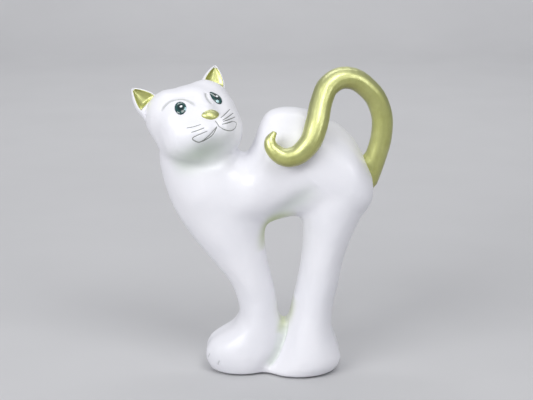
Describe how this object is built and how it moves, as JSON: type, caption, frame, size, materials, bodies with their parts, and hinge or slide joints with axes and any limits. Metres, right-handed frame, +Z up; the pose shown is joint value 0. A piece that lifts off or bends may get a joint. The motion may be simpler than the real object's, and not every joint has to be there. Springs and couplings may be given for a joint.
{
  "type": "cat figurine",
  "caption": "Glazed white ceramic cat standing with an arched back and turned head, its gilded tail arching over the back and curling on the near flank.",
  "frame": {"origin": "on the ground, below the middle of the figure's bounding box", "axes": "+Z up, +X along the body from the head to the tail end, -Y the side that the face turns to"},
  "size_m": [0.2562, 0.1044, 0.3133],
  "materials": {
    "white_glaze": "gloss",
    "gold_lustre": "gloss",
    "eye_enamel": "polished",
    "green_felt": "matte"
  },
  "bodies": {
    "root": {"body_shell": "white_glaze", "head_shell": "white_glaze", "right_ear": "white_glaze", "left_ear": "white_glaze", "right_ear_gilding": "gold_lustre", "left_ear_gilding": "gold_lustre", "right_eye": "eye_enamel", "left_eye": "eye_enamel", "nose": "gold_lustre", "tail": "gold_lustre", "front_foot_felt": "green_felt", "rear_foot_felt": "green_felt"}
  },
  "joints": []
}
